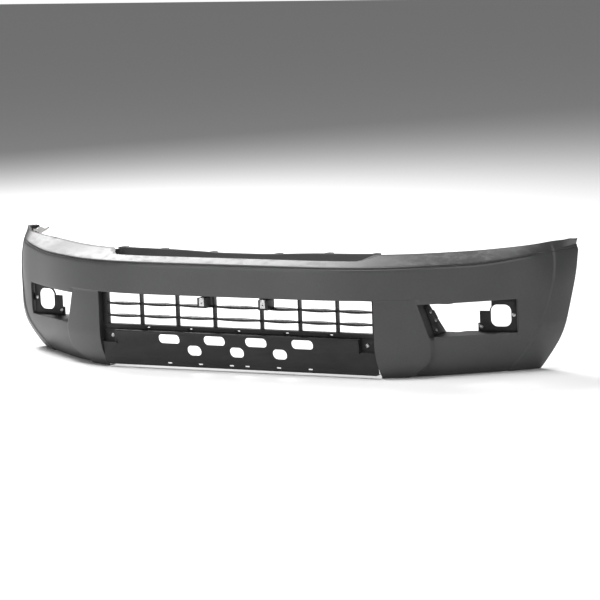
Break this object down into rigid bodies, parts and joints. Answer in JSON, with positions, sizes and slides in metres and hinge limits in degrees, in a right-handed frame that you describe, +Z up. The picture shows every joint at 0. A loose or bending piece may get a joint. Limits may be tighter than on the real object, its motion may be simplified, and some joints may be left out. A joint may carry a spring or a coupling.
{
  "type": "bumper cover",
  "caption": "Front bumper cover with a slatted lower grille, perforated valance and fog-lamp mounting plates, for an off-road vehicle.",
  "frame": {"origin": "centre of the bounding box in plan, at the level the cover stands on", "axes": "+X across the vehicle towards the right-hand wing in the view from the front, -Y towards the front, +Z up"},
  "size_m": [1.8604, 0.502, 0.378],
  "materials": {
    "primed_cover": "satin charcoal primer over injection-moulded polypropylene, smooth",
    "moulded_trim": "mould-in-colour black polypropylene, fine grain",
    "natural_clip": "natural undyed acetal, slightly translucent",
    "zinc_plate": "bright zinc-plated steel"
  },
  "bodies": {
    "root": {"cover_skin": "primed_cover", "lower_grille": "moulded_trim", "lower_valance": "moulded_trim", "fog_lamp_plate_right": "moulded_trim", "fog_lamp_plate_left": "moulded_trim", "pocket_side_plate_right": "moulded_trim", "pocket_side_plate_left": "moulded_trim", "wing_bracket_right": "natural_clip", "wing_bracket_left": "natural_clip", "plate_nut_right": "zinc_plate", "plate_nut_left": "zinc_plate", "lamp_plate_screw_right_1": "zinc_plate", "lamp_plate_screw_right_2": "zinc_plate", "lamp_plate_screw_left_1": "zinc_plate", "lamp_plate_screw_left_2": "zinc_plate", "side_plate_screw_right_1": "zinc_plate", "side_plate_screw_right_2": "zinc_plate", "side_plate_screw_right_3": "zinc_plate", "side_plate_screw_left_1": "zinc_plate", "side_plate_screw_left_2": "zinc_plate", "side_plate_screw_left_3": "zinc_plate", "wing_bracket_screw_right": "zinc_plate", "wing_bracket_screw_left": "zinc_plate", "valance_screw_right": "zinc_plate", "valance_screw_left": "zinc_plate"}
  },
  "joints": []
}
